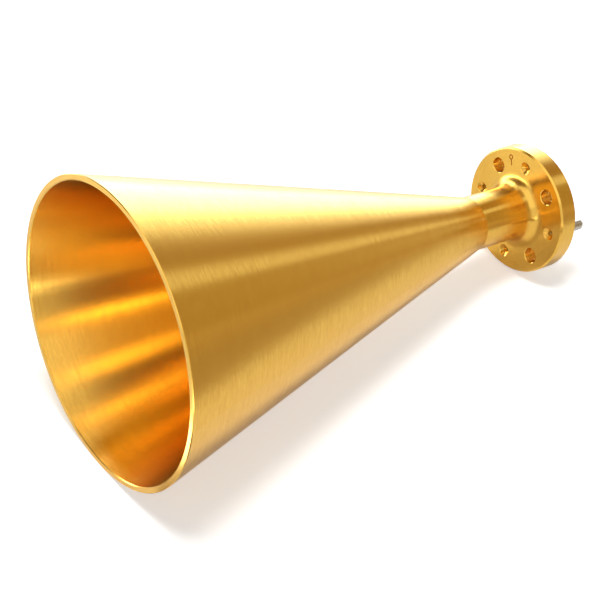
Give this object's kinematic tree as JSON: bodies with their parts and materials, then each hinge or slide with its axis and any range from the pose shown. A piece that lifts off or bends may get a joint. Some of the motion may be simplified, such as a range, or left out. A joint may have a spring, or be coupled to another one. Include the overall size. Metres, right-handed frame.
{
  "type": "horn antenna",
  "caption": "Gold-plated conical horn antenna: a thin turned flare runs into a short neck and a round waveguide flange with tapped holes and steel dowel pins.",
  "frame": {"origin": "centre of the mouth, in the plane of its rim", "axes": "+Z along the horn's axis from the mouth to the mating face, +X through the dowel pins"},
  "size_m": [0.04, 0.04, 0.077],
  "materials": {
    "gold_plated_brass": "gold plated, satin turned",
    "pin_steel": "ground"
  },
  "bodies": {
    "root": {"horn_body": "gold_plated_brass", "dowel_pin_left": "pin_steel", "dowel_pin_right": "pin_steel"}
  },
  "joints": []
}
